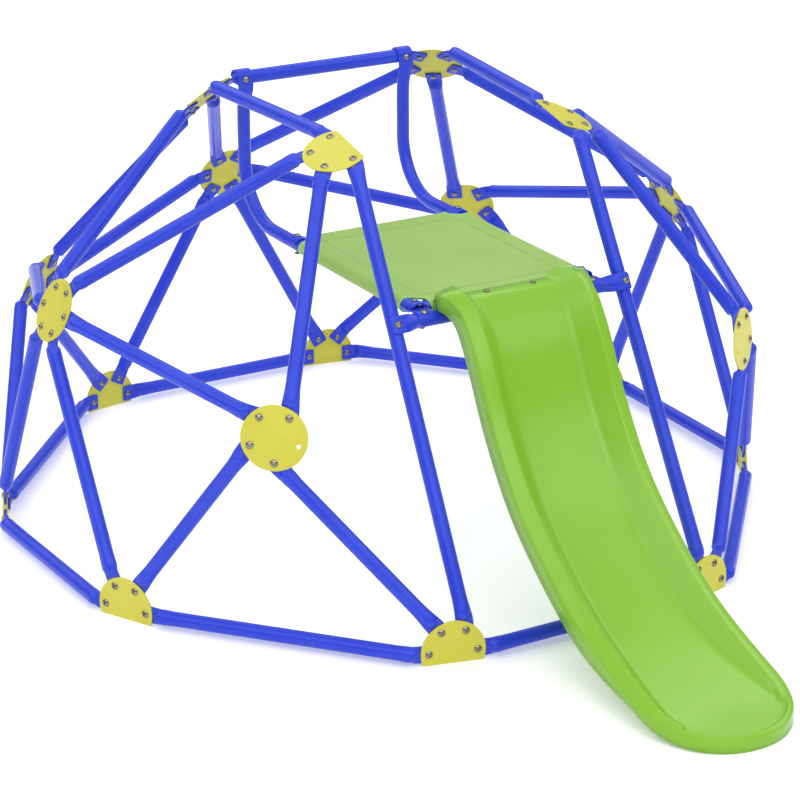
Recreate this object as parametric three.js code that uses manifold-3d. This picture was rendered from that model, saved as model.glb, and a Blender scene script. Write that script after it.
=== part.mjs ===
// Dome climber with a hanging platform and a slide, in millimetres, +Z up.
// The slide points along -Y. X = 0 is the plane the two halves mirror across.
import * as THREE from "three";
import * as BufferGeometryUtils from "three/addons/utils/BufferGeometryUtils.js";
import Module from "manifold-3d";

const wasm = await Module();
wasm.setup();

// ---------------------------------------------------------------- driving dimensions
const domeCentreY = 302;        // dome axis behind the middle of the overall length
const baseHeight = 25;          // centre of the ground plates above the ground

const plateRadius = 71;
const plateThickness = 3;
const boltCircleRadius = 53.5;
const plateEdgeCut = 38;        // straight edge of the two front top plates, from their centre
const spareHoleRadius = 5;
const discSides = 36;

const strutRadius = 16;
const strutSides = 10;
const flatHalfWidth = 19.5;     // pressed tube end
const flatHalfThickness = 2.5;
const endPastBolt = 13;
const flatLength = 29;
const pressLength = 48;         // run over which the tube goes from flat to round
const pressMiddle = 0.45;       // share of that run at its half-pressed section
const contactGap = 0.3;         // clearance kept between touching pieces
const linkWidth = 14;           // short link between the ends of two diagonals on a ground plate
const linkHeight = 8;
const linkBelowHoles = 7;

const hangerX = 214;
const hangerRadius = 15;
const hangerSides = 12;
const hangerY = 272;            // vertical run, behind the dome axis
const sideTubeZ = 655;
const hangerBend = 140;
const strapHalfWidth = 19;      // pressed ends of the platform's tubes
const strapHalfThickness = 2.5;
const pressedHalfWidth = 18;
const pressedHalfThickness = 8;
const hookDrops = { strap: 22, pressed: 45, round: 75 };    // below the beam's axis
const hookGap = 4.5;            // clearance between the beam and the hook over it
const frontRuns = { strap: 28, pressed: 48, round: 75 };    // behind the cross bar's axis

const crossBarY = -538;         // all platform distances are measured from the dome axis
const crossBarZ = 642;
const crossBarHalf = 303;
const crossBarRuns = { strap: 20, pressed: 33, round: 46 }; // inside the leg's axis
const rearBarY = 16;
const rearBarRadius = 13;
const rearBarPastTube = 12;
const rearBarRise = 6;          // half-pressed section above the side tubes' axis
const rearBarRuns = { strap: 1, pressed: 14, round: 30 };   // inside the side tube's wall

const clothZ = 671.4;
const clothHalfWidth = 234;
const clothRearY = 40;
const clothFrontY = -519;
const clothThickness = 2;
const clothNotch = 52;

const slideHalfWidth = 170;
const slideFlare = 18;          // extra half width at the top
const slideRailWidth = 33;
const slideRailEdge = 9;        // outer edge of a rail, below its line
const slideCrest = 8;           // inner edge of a rail, above its line
const slideDepth = 33;          // floor below the rail line
const slideTopDepth = 12;
const slideTopRun = 110;        // length over which the top opens into the chute
const slideExitRun = 420;       // length over which the chute flattens towards the exit
const slideExitShare = 0.35;    // share of the depth left at the exit
const slideSkirt = 11;          // outer wall below the floor
const slideFoot = 32;           // outer wall at the exit, which stands on the ground
const slideWall = 4;
const slideFrontFoot = 1;       // hollow left under the solid front wall
const slideNose = 190;          // length of the rounded exit
const slideNoseShare = 0.93;    // how much of a half ellipse the exit's outline follows
const slideSteps = 28;
const slideNoseSteps = 8;

// ---------------------------------------------------------------- colours and finishes
const paint = { color: 0x3a4fe0, roughness: 0.35, metalness: 0.0 };
const platePaint = { color: 0xd8d44a, roughness: 0.45, metalness: 0.0 };
const plastic = { color: 0x8fce3c, roughness: 0.35, metalness: 0.0 };
const cloth = { color: 0xa6cc70, roughness: 0.85, metalness: 0.0 };

// ---------------------------------------------------------------- hubs
// radius and height of the plate centre, azimuth of the hub, yaw and tilt of its outer face
const leftHubs = {
  top_front: { ring: "top", radius: 416, azimuth: -134.2, height: 938, yaw: -146, tilt: 67 },
  top_rear: { ring: "top", radius: 417, azimuth: 137, height: 924, yaw: 123, tilt: 47 },
  upper: { ring: "upper", radius: 818, azimuth: 179, height: 577, yaw: 180, tilt: 25 },
  lower_front: { ring: "lower", radius: 840, azimuth: -135.5, height: 443, yaw: -127, tilt: 6 },
  lower_rear: { ring: "lower", radius: 852, azimuth: 135, height: 437, yaw: 125, tilt: 22 },
  base_front: { ring: "base", radius: 912, azimuth: -110.8, height: 0, yaw: -104, tilt: 0 },
  base_side_front: { ring: "base", radius: 884, azimuth: -158.8, height: 0, yaw: -153, tilt: 0 },
  base_side_rear: { ring: "base", radius: 892, azimuth: 159.8, height: 0, yaw: 153, tilt: 0 },
  base_rear: { ring: "base", radius: 908, azimuth: 110.7, height: 0, yaw: 100, tilt: 0 },
};
const rearHub = { ring: "upper", radius: 801, azimuth: 90, height: 567, yaw: 90, tilt: 24 };

const radians = THREE.MathUtils.degToRad;

function direction(azimuth, tilt) {
  const a = radians(azimuth);
  const t = radians(tilt);
  return new THREE.Vector3(Math.cos(a) * Math.cos(t), Math.sin(a) * Math.cos(t), Math.sin(t));
}

function mirrorAngle(angle) {
  return 180 - angle;
}

function makeHub(name, row) {
  const centre = direction(row.azimuth, 0).multiplyScalar(row.radius);
  centre.y += domeCentreY;
  centre.z = row.height + baseHeight;
  const normal = direction(row.yaw, row.tilt);
  const east = new THREE.Vector3(0, 0, 1).cross(normal).normalize();
  const up = normal.clone().cross(east);
  return { name, ring: row.ring, azimuth: row.azimuth, centre, normal, east, up };
}

const hubs = {};
for (const [name, row] of Object.entries(leftHubs)) {
  const mirrored = { ...row, azimuth: mirrorAngle(row.azimuth), yaw: mirrorAngle(row.yaw) };
  hubs[`${name}_left`] = makeHub(`${name}_left`, row);
  hubs[`${name}_right`] = makeHub(`${name}_right`, mirrored);
}
hubs.upper_rear = makeHub("upper_rear", rearHub);

function signedTurn(from, to) {
  return THREE.MathUtils.euclideanModulo(to - from + 180, 360) - 180;
}

// Hole angle on a hub's plate, from "up" towards increasing azimuth, for the strut that
// leaves towards a hub of another ring on the given side (+1 or -1).
const holeAngles = {
  top: { top: 36, upper: 108, lower: 180, base: 108 },
  upper: { top: 30, lower: 90, base: 150 },
  lower: { top: 0, upper: 72, base: 144 },
  base: { lower: 30, upper: 30, top: -30, base: 90 },
};
// The five-hole plates of the lower hubs are turned so that one hole points down.
const lowerTurn = {
  lower_front_left: 36,
  lower_rear_left: -36,
  lower_front_right: -36,
  lower_rear_right: 36,
};

function holeAngle(hub, other) {
  const side = Math.sign(signedTurn(hub.azimuth, other.azimuth));
  const angle = holeAngles[hub.ring][other.ring];
  const sideless = angle === 0 || angle === 180;
  return (sideless ? angle : angle * side) + (lowerTurn[hub.name] ?? 0);
}

function onPlate(hub, angle, radius, depth) {
  const a = radians(angle);
  return hub.centre.clone()
    .addScaledVector(hub.up, radius * Math.cos(a))
    .addScaledVector(hub.east, radius * Math.sin(a))
    .addScaledVector(hub.normal, depth);
}

// ---------------------------------------------------------------- solids
function signedVolume(positions, triangles) {
  let sum = 0;
  const [a, b, c] = [new THREE.Vector3(), new THREE.Vector3(), new THREE.Vector3()];
  for (let i = 0; i < triangles.length; i += 3) {
    a.fromArray(positions, 3 * triangles[i]);
    b.fromArray(positions, 3 * triangles[i + 1]);
    c.fromArray(positions, 3 * triangles[i + 2]);
    sum += a.dot(b.cross(c)) / 6;
  }
  return sum;
}

// Skins a row of closed rings with equal point counts and caps both ends.
function skin(rings) {
  const count = rings[0].length;
  const positions = rings.flat().flatMap((p) => [p.x, p.y, p.z]);
  const triangles = [];
  for (let r = 0; r + 1 < rings.length; r += 1) {
    for (let k = 0; k < count; k += 1) {
      const a = r * count + k;
      const b = r * count + ((k + 1) % count);
      triangles.push(a, b, b + count, a, b + count, a + count);
    }
  }
  const last = (rings.length - 1) * count;
  const capShape = (first) => {
    const ring = rings[first / count];
    const centre = ring.reduce((sum, p) => sum.add(p), new THREE.Vector3()).divideScalar(count);
    const normal = new THREE.Vector3();
    for (let k = 0; k < count; k += 1) {
      const p = ring[k].clone().sub(centre);
      normal.add(p.cross(ring[(k + 1) % count].clone().sub(centre)));
    }
    normal.normalize();
    const u = ring[0].clone().sub(centre).normalize();
    const v = normal.clone().cross(u);
    const flat = ring.map((p) => {
      const q = p.clone().sub(centre);
      return new THREE.Vector2(q.dot(u), q.dot(v));
    });
    return THREE.ShapeUtils.triangulateShape(flat, []);
  };
  for (const [a, b, c] of capShape(0)) triangles.push(c, b, a);
  for (const [a, b, c] of capShape(last)) triangles.push(last + a, last + b, last + c);
  if (signedVolume(positions, triangles) < 0) triangles.reverse();
  const geometry = new THREE.BufferGeometry();
  geometry.setAttribute("position", new THREE.Float32BufferAttribute(positions, 3));
  geometry.setIndex(triangles);
  return geometry;
}

// One ring of a tube: half width a along u, half thickness b along v, squarer as power grows.
function tubeRing(centre, u, v, a, b, power, sides, shift = 0) {
  const points = [];
  for (let k = 0; k < sides; k += 1) {
    const angle = (2 * Math.PI * (k + 0.5 - shift)) / sides;
    const c = Math.cos(angle);
    const s = Math.sin(angle);
    const x = a * Math.sign(c) * Math.abs(c) ** (2 / power);
    const y = b * Math.sign(s) * Math.abs(s) ** (2 / power);
    points.push(centre.clone().addScaledVector(u, x).addScaledVector(v, y));
  }
  return points;
}

const sheetOffset = plateThickness / 2 + contactGap + flatHalfThickness;

// Half a strut: its pressed end behind one plate and the run to the full round tube.
function strutEnd(hub, other, target) {
  const bolt = onPlate(hub, holeAngle(hub, other), boltCircleRadius, -sheetOffset);
  const along = target.clone().sub(bolt);
  along.addScaledVector(hub.normal, -along.dot(hub.normal)).normalize();
  return {
    hub,
    bolt,
    along,
    tip: bolt.clone().addScaledVector(along, -endPastBolt),
    bend: bolt.clone().addScaledVector(along, flatLength),
  };
}

function endRings(end, run, travel, roundRadius, sides, shift) {
  const flatU = end.along.clone().multiplyScalar(travel).cross(end.hub.normal).negate();
  const v = end.hub.normal.clone().addScaledVector(run, -end.hub.normal.dot(run)).normalize();
  const u = v.clone().cross(run);
  const away = run.clone().multiplyScalar(travel);
  const middle = end.bend.clone().addScaledVector(away, pressLength * pressMiddle);
  const round = end.bend.clone().addScaledVector(away, pressLength);
  const n = end.hub.normal;
  const rings = [
    tubeRing(end.tip, flatU, n, flatHalfWidth, flatHalfThickness, 8, sides, shift),
    tubeRing(end.bend, flatU, n, flatHalfWidth, flatHalfThickness, 8, sides, shift),
    tubeRing(middle, u, v, flatHalfWidth - 1.5, roundRadius * 0.55, 3, sides, shift),
    tubeRing(round, u, v, roundRadius, roundRadius, 2, sides, shift),
  ];
  return { rings, v };
}

// Both ends of a strut; the straight tube runs between their bend points.
function strutEnds(hubA, hubB) {
  const roughA = onPlate(hubA, holeAngle(hubA, hubB), boltCircleRadius, -sheetOffset);
  const roughB = onPlate(hubB, holeAngle(hubB, hubA), boltCircleRadius, -sheetOffset);
  return [strutEnd(hubA, hubB, roughB), strutEnd(hubB, hubA, roughA)];
}

function strutGeometry(hubA, hubB) {
  const [endA, endB] = strutEnds(hubA, hubB);
  const run = endB.bend.clone().sub(endA.bend).normalize();
  const a = endRings(endA, run, 1, strutRadius, strutSides, 0);
  const vB = hubB.normal.clone().addScaledVector(run, -hubB.normal.dot(run)).normalize();
  const turn = Math.atan2(vB.dot(a.v.clone().cross(run)), vB.dot(a.v));
  const shift = -Math.round((turn * strutSides) / (2 * Math.PI));
  const b = endRings(endB, run, -1, strutRadius, strutSides, shift);
  return skin([...a.rings, ...b.rings.reverse()]);
}

function plateOutline(hub) {
  const shape = new THREE.Shape();
  let cut = null;
  if (hub.ring === "base") cut = { distance: baseHeight, angle: 180 };
  if (hub.name.startsWith("top_front")) {
    cut = { distance: plateEdgeCut, angle: hub.name.endsWith("left") ? 36 : -36 };
  }
  if (cut) {
    const half = Math.acos(cut.distance / plateRadius);
    const centreAngle = radians(90 - cut.angle);
    shape.absarc(0, 0, plateRadius, centreAngle + half, centreAngle - half + 2 * Math.PI, false);
  } else {
    shape.absarc(0, 0, plateRadius, 0, 2 * Math.PI, false);
  }
  return shape;
}

function spareHole(hub) {
  if (!hub.name.startsWith("lower_front")) return [];
  const side = hub.name.endsWith("left") ? 1 : -1;
  const angle = radians(90 - (72 * side + lowerTurn[hub.name]));
  const hole = new THREE.Path();
  const x = boltCircleRadius * Math.cos(angle);
  const y = boltCircleRadius * Math.sin(angle);
  hole.absarc(x, y, spareHoleRadius, 0, 2 * Math.PI, true);
  return [hole];
}

function plateGeometry(hub) {
  const shape = plateOutline(hub);
  shape.holes.push(...spareHole(hub));
  const options = { depth: plateThickness, bevelEnabled: false, curveSegments: discSides / 2 };
  const geometry = new THREE.ExtrudeGeometry(shape, options);
  geometry.translate(0, 0, -plateThickness / 2);
  return geometry;
}

function toManifold(geometry) {
  const bare = geometry.clone();
  bare.deleteAttribute("normal");
  bare.deleteAttribute("uv");
  const merged = BufferGeometryUtils.mergeVertices(bare, 1e-4);
  return new wasm.Manifold(new wasm.Mesh({
    numProp: 3,
    vertProperties: new Float32Array(merged.attributes.position.array),
    triVerts: new Uint32Array(merged.index.array),
  }));
}

function fromManifold(solid) {
  const mesh = solid.getMesh();
  const geometry = new THREE.BufferGeometry();
  geometry.setAttribute("position", new THREE.BufferAttribute(mesh.vertProperties, 3));
  geometry.setIndex(new THREE.BufferAttribute(mesh.triVerts, 1));
  return geometry;
}

// Two diagonals that meet at a ground plate, joined by a short link between their ends.
function strutPairGeometry(base, first, second) {
  const linkGeometry = new THREE.BoxGeometry(linkWidth, linkHeight, 2 * flatHalfThickness - 1);
  const frame = new THREE.Matrix4().makeBasis(base.east, base.up, base.normal);
  frame.setPosition(onPlate(base, 0, boltCircleRadius - linkBelowHoles, -sheetOffset));
  linkGeometry.applyMatrix4(frame);
  const joined = toManifold(strutGeometry(first, base))
    .add(toManifold(strutGeometry(second, base)))
    .add(toManifold(linkGeometry));
  return fromManifold(joined);
}

// ---------------------------------------------------------------- platform frame
// Sweeps a tube section along points in a plane of constant x or along x.
function sweptTube(stations, widthAxis, sides) {
  const rings = stations.map((station, i) => {
    const before = stations[Math.max(i - 1, 0)].centre;
    const after = stations[Math.min(i + 1, stations.length - 1)].centre;
    const tangent = after.clone().sub(before).normalize();
    const normal = tangent.clone().cross(widthAxis).normalize();
    const { centre, half, thick, power } = station;
    return tubeRing(centre, widthAxis, normal, half, thick, power, sides);
  });
  return skin(rings);
}

function roundStation(centre, radius = hangerRadius) {
  return { centre, half: radius, thick: radius, power: 2 };
}

function strapStation(centre) {
  return { centre, half: strapHalfWidth, thick: strapHalfThickness, power: 8 };
}

function pressedStation(centre) {
  return { centre, half: pressedHalfWidth, thick: pressedHalfThickness, power: 3 };
}

// The beam between the two rear top hubs, where the hangers hook on.
const beamEnd = strutEnds(hubs.top_rear_left, hubs.top_rear_right)[0].bend;
const strapReach = strutRadius + strapHalfThickness + hookGap;

function hangerGeometry(x) {
  const at = (y, z) => new THREE.Vector3(x, y, z);
  const beam = at(beamEnd.y, beamEnd.z);
  const stations = [];
  for (const angle of [20, 50, 80, 110, 140, 165, 180]) {
    const a = radians(angle);
    const y = beam.y + strapReach * Math.cos(a);
    stations.push(strapStation(at(y, beam.z + strapReach * Math.sin(a))));
  }
  const strapY = beam.y - strapReach;
  const tubeY = domeCentreY + hangerY;
  stations.push(strapStation(at(strapY, beam.z - hookDrops.strap)));
  stations.push(pressedStation(at((strapY + tubeY) / 2, beam.z - hookDrops.pressed)));
  stations.push(roundStation(at(tubeY, beam.z - hookDrops.round)));
  const steps = 7;
  for (let i = 0; i <= steps; i += 1) {
    const a = (Math.PI / 2) * (i / steps);
    const y = tubeY - hangerBend + hangerBend * Math.cos(a);
    stations.push(roundStation(at(y, sideTubeZ + hangerBend - hangerBend * Math.sin(a))));
  }
  const barY = domeCentreY + crossBarY;
  const barReach = strutRadius + contactGap + strapHalfThickness;
  stations.push(roundStation(at(barY + frontRuns.round, sideTubeZ)));
  stations.push(pressedStation(at(barY + frontRuns.pressed, sideTubeZ + 1)));
  stations.push(strapStation(at(barY + frontRuns.strap, crossBarZ + barReach - 2)));
  for (const angle of [75, 100, 125, 150]) {
    const a = radians(angle);
    const y = barY + barReach * Math.cos(a);
    stations.push(strapStation(at(y, crossBarZ + barReach * Math.sin(a))));
  }
  return sweptTube(stations, new THREE.Vector3(1, 0, 0), hangerSides);
}

// Cross bar between the two long legs: round tube with a pressed end in front of each leg.
function crossBarGeometry() {
  const [top, foot] = strutEnds(hubs.top_front_right, hubs.base_front_right).map((end) => end.bend);
  const leg = foot.clone().sub(top);
  const legAtBar = top.clone().addScaledVector(leg, (top.z - crossBarZ) / (top.z - foot.z));
  const widthAxis = new THREE.Vector3(0, leg.y, leg.z).normalize();
  const outward = new THREE.Vector3(0, widthAxis.z, -widthAxis.y);
  const strapReachOut = strutRadius + 2 * contactGap + strapHalfThickness;
  const strapOffset = outward.clone().multiplyScalar(strapReachOut);
  const strapY = legAtBar.y + strapOffset.y;
  const strapZ = crossBarZ + strapOffset.z;
  const barY = domeCentreY + crossBarY;
  const inside = (run) => legAtBar.x - run;
  const middleY = (strapY + barY) / 2;
  const middleZ = (strapZ + crossBarZ) / 2;
  const side = (sign) => [
    strapStation(new THREE.Vector3(sign * crossBarHalf, strapY, strapZ)),
    strapStation(new THREE.Vector3(sign * inside(crossBarRuns.strap), strapY, strapZ)),
    pressedStation(new THREE.Vector3(sign * inside(crossBarRuns.pressed), middleY, middleZ)),
    roundStation(new THREE.Vector3(sign * inside(crossBarRuns.round), barY, crossBarZ)),
  ];
  return sweptTube([...side(-1), ...side(1).reverse()], widthAxis, hangerSides);
}

// Rear cloth bar: lies between the side tubes and its pressed ends rest on top of them.
function rearBarGeometry() {
  const y = domeCentreY + rearBarY;
  const strapZ = sideTubeZ + hangerRadius + contactGap + strapHalfThickness;
  const inside = (run) => hangerX - hangerRadius - run;
  const side = (sign) => [
    strapStation(new THREE.Vector3(sign * (hangerX + rearBarPastTube), y, strapZ)),
    strapStation(new THREE.Vector3(sign * inside(rearBarRuns.strap), y, strapZ)),
    pressedStation(new THREE.Vector3(sign * inside(rearBarRuns.pressed), y, sideTubeZ + rearBarRise)),
    roundStation(new THREE.Vector3(sign * inside(rearBarRuns.round), y, sideTubeZ), rearBarRadius),
  ];
  return sweptTube([...side(-1), ...side(1).reverse()], new THREE.Vector3(0, 1, 0), hangerSides);
}

// Platform cloth: one sheet over the side tubes, with its four corners cut away.
function clothGeometry() {
  const shape = new THREE.Shape();
  const w = clothHalfWidth;
  const n = clothNotch;
  const rear = domeCentreY + clothRearY;
  const front = domeCentreY + clothFrontY;
  shape.moveTo(-w, front + n);
  shape.lineTo(-w + n, front + n);
  shape.lineTo(-w + n, front);
  shape.lineTo(w - n, front);
  shape.lineTo(w - n, front + n);
  shape.lineTo(w, front + n);
  shape.lineTo(w, rear - n);
  shape.lineTo(w - n, rear - n);
  shape.lineTo(w - n, rear);
  shape.lineTo(-w + n, rear);
  shape.lineTo(-w + n, rear - n);
  shape.lineTo(-w, rear - n);
  const geometry = new THREE.ExtrudeGeometry(shape, { depth: clothThickness, bevelEnabled: false });
  geometry.translate(0, 0, clothZ - clothThickness / 2);
  return geometry;
}

// ---------------------------------------------------------------- slide
// Side view of the top of the rails, from the platform to the exit lip.
const slideLine = new THREE.CatmullRomCurve3([
  [-522, 692], [-575, 697], [-625, 672], [-670, 615], [-757, 455],
  [-846, 331], [-945, 240], [-1090, 141], [-1234, 80], [-1360, 43], [-1480, 32],
].map(([y, z]) => new THREE.Vector3(0, domeCentreY + y, z)), false, "centripetal");

function ease(x) {
  const t = THREE.MathUtils.clamp(x, 0, 1);
  return t * t * (3 - 2 * t);
}

// Moves an open outline sideways by a distance; its walls stay parallel.
function offsetOutline(points, distance) {
  const along = (from, to) => new THREE.Vector2(to[0] - from[0], to[1] - from[1]).normalize();
  return points.map((point, i) => {
    const first = along(points[Math.max(i - 1, 0)], points[Math.max(i, 1)]);
    const second = along(points[Math.min(i, points.length - 2)], points[Math.min(i + 1, points.length - 1)]);
    const bisector = first.clone().add(second).normalize();
    const reach = distance / Math.max(bisector.dot(first), 0.5);
    return [point[0] - bisector.y * reach, point[1] + bisector.x * reach];
  });
}

// Section of the slide across its line: x across, h along the line's upward normal.
function slideSection(distance, length) {
  const left = length - distance;
  const intoNose = Math.max(0, slideNose - left);
  const opening = ease(distance / slideTopRun);
  const closing = ease(left / slideExitRun);
  const body = slideHalfWidth + slideFlare * (1 - opening);
  const narrowing = Math.sqrt(1 - (slideNoseShare * intoNose / slideNose) ** 2);
  const half = body * narrowing;
  const rail = slideRailWidth * narrowing;
  const topDepth = THREE.MathUtils.lerp(slideTopDepth, slideDepth, opening);
  const depth = topDepth * THREE.MathUtils.lerp(slideExitShare, 1, closing);
  const crest = slideCrest * opening * closing;
  const skirt = Math.max(depth + slideSkirt, slideFoot * (1 - closing));
  const outer = [
    [half, -skirt],
    [half, -slideRailEdge],
    [half - rail / 2, crest / 2],
    [half - rail, crest],
    [half - rail * 1.3, -depth * 0.4],
    [half - rail * 1.9, -depth],
  ];
  const inner = offsetOutline(outer, slideWall);
  inner[0] = [half - slideWall, -skirt];
  if (left < 2 * slideWall) {
    for (const point of inner.slice(1)) point[1] = slideFrontFoot - skirt;
  }
  const mirror = (points) => points.map(([x, h]) => [-x, h]).reverse();
  return [...outer, ...mirror(outer), ...mirror(inner).reverse(), ...[...inner].reverse()];
}

function slideGeometry() {
  const length = slideLine.getLength();
  const straight = length - slideNose;
  const stops = Array.from({ length: slideSteps }, (_, i) => (i * straight) / slideSteps);
  for (let i = 0; i < slideNoseSteps; i += 1) {
    stops.push(straight + slideNose * Math.sin((i * Math.PI) / (2 * slideNoseSteps)));
  }
  stops.push(length - 2 * slideWall - 1, length - 2 * slideWall + 1, length);
  const rings = [];
  for (const distance of stops) {
    const u = distance / length;
    const origin = slideLine.getPointAt(u);
    const tangent = slideLine.getTangentAt(u);
    const up = new THREE.Vector3(0, tangent.z, -tangent.y);
    const points = slideSection(distance, length).map(([x, h]) => (
      new THREE.Vector3(x, 0, 0).add(origin).addScaledVector(up, h)
    ));
    rings.push(points);
  }
  return skin(rings);
}

// ---------------------------------------------------------------- assembly
const dome = new THREE.Group();

function addMesh(name, geometry, finish) {
  const mesh = new THREE.Mesh(geometry, new THREE.MeshStandardMaterial(finish));
  mesh.name = name;
  dome.add(mesh);
  return mesh;
}

const singleStruts = [
  ["top_front_left", "top_rear_left"], ["top_rear_left", "top_rear_right"],
  ["top_rear_right", "top_front_right"],
  ["top_rear_left", "upper_left"], ["top_rear_left", "upper_rear"], ["top_rear_left", "lower_rear_left"],
  ["top_front_left", "upper_left"], ["top_front_left", "lower_front_left"],
  ["top_rear_right", "upper_right"], ["top_rear_right", "upper_rear"],
  ["top_rear_right", "lower_rear_right"],
  ["top_front_right", "upper_right"], ["top_front_right", "lower_front_right"],
  ["lower_front_left", "upper_left"], ["upper_left", "lower_rear_left"],
  ["lower_rear_left", "upper_rear"], ["upper_rear", "lower_rear_right"],
  ["lower_rear_right", "upper_right"], ["upper_right", "lower_front_right"],
];
const baseRing = [
  "base_front_left", "base_front_right", "base_side_front_right", "base_side_rear_right",
  "base_rear_right", "base_rear_left", "base_side_rear_left", "base_side_front_left",
];
const strutPairs = {
  base_front_left: ["lower_front_left", "top_front_left"],
  base_front_right: ["lower_front_right", "top_front_right"],
  base_side_front_left: ["upper_left", "lower_front_left"],
  base_side_front_right: ["upper_right", "lower_front_right"],
  base_side_rear_left: ["upper_left", "lower_rear_left"],
  base_side_rear_right: ["upper_right", "lower_rear_right"],
  base_rear_left: ["upper_rear", "lower_rear_left"],
  base_rear_right: ["upper_rear", "lower_rear_right"],
};

for (const [from, to] of singleStruts) {
  addMesh(`strut_${from}_to_${to}`, strutGeometry(hubs[from], hubs[to]), paint);
}
baseRing.forEach((from, i) => {
  const to = baseRing[(i + 1) % baseRing.length];
  addMesh(`ground_strut_${from.slice(5)}_to_${to.slice(5)}`, strutGeometry(hubs[from], hubs[to]), paint);
});
for (const [base, [first, second]] of Object.entries(strutPairs)) {
  addMesh(`leg_pair_${base.slice(5)}`, strutPairGeometry(hubs[base], hubs[first], hubs[second]), paint);
}
for (const hub of Object.values(hubs)) {
  const plate = addMesh(`plate_${hub.name}`, plateGeometry(hub), platePaint);
  plate.position.copy(hub.centre);
  plate.quaternion.setFromRotationMatrix(new THREE.Matrix4().makeBasis(hub.east, hub.up, hub.normal));
}
addMesh("hanger_left", hangerGeometry(-hangerX), paint);
addMesh("hanger_right", hangerGeometry(hangerX), paint);
addMesh("cross_bar", crossBarGeometry(), paint);
addMesh("rear_cloth_bar", rearBarGeometry(), paint);
addMesh("platform_cloth", clothGeometry(), cloth);
addMesh("slide", slideGeometry(), plastic);

export default dome;
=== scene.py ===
"""Looks of the dome climber: coated tubes, painted hub plates, bolts, a woven platform and a moulded slide.

Lengths are in millimetres in the CAD frame. Meshes are scaled to metres when they are made.
"""
import math

import bmesh
import bpy
import numpy as np
from mathutils import Matrix, Vector


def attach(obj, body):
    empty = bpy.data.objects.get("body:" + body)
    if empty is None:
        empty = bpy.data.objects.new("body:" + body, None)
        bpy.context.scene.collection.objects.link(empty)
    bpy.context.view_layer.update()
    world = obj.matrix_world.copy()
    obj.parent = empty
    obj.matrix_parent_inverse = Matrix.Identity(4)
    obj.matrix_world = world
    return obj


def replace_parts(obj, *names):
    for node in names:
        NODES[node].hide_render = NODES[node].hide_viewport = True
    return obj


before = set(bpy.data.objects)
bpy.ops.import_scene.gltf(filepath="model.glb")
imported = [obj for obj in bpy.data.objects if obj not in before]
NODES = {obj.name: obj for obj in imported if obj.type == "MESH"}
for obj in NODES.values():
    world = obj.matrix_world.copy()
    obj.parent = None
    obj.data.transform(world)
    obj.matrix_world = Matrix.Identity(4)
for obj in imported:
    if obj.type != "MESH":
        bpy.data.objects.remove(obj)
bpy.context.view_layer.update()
MM = 0.001

# ---------------------------------------------------------------- dimensions shared with the CAD source
DOME_Y = 302.0
PLATE_RADIUS = 71.0
PLATE_THICKNESS = 3.0
BOLT_CIRCLE = 53.5
PLATE_EDGE_CUT = 38.0
BASE_HEIGHT = 25.0
SPARE_HOLE_RADIUS = 5.0
TUBE_RADIUS = 16.0
FLAT_HALF_WIDTH = 19.5
FLAT_HALF_THICKNESS = 2.5
CONTACT_GAP = 0.3
END_PAST_BOLT = 13.0
FLAT_LENGTH = 29.0
PRESS_LENGTH = 48.0
HANGER_X = 214.0
HANGER_RADIUS = 15.0
HANGER_Y = 272.0
SIDE_TUBE_Z = 655.0
HANGER_BEND = 140.0
CROSS_BAR_Y = -538.0
CROSS_BAR_Z = 642.0
CLOTH_BAR_RADIUS = 13.0
REAR_BAR_Y = 16.0
FRONT_BAR_Y = -502.0

WELD = 1e-5                     # metres between points that are merged
SMOOTH_ANGLE = 50


# ---------------------------------------------------------------- small helpers
def vec(x, y, z):
    return np.array([x, y, z], float)


def unit(v):
    return v / np.linalg.norm(v)


def ease(x):
    t = np.clip(x, 0.0, 1.0)
    return t * t * (3 - 2 * t)


def mix(a, b, t):
    return a + (b - a) * t


def bezier(a, b, c, t):
    return (1 - t) ** 2 * a + 2 * t * (1 - t) * b + t * t * c


def lengths_along(points):
    """Distance of each point of a line from its first."""
    steps = np.linalg.norm(np.diff(points, axis=0), axis=1)
    return np.concatenate([[0], np.cumsum(steps)])


def put(name, data):
    """A new object in the scene."""
    obj = bpy.data.objects.new(name, data)
    bpy.context.scene.collection.objects.link(obj)
    return obj


X_AXIS = vec(1, 0, 0)
Y_AXIS = vec(0, 1, 0)
Z_AXIS = vec(0, 0, 1)
MIRROR = vec(-1, 1, 1)


# ---------------------------------------------------------------- materials
NOISE_SPAN = (0.3, 0.7)
WORN_SPAN = (0.35, 0.75)        # noise values between which a surface goes from fresh to faded


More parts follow.
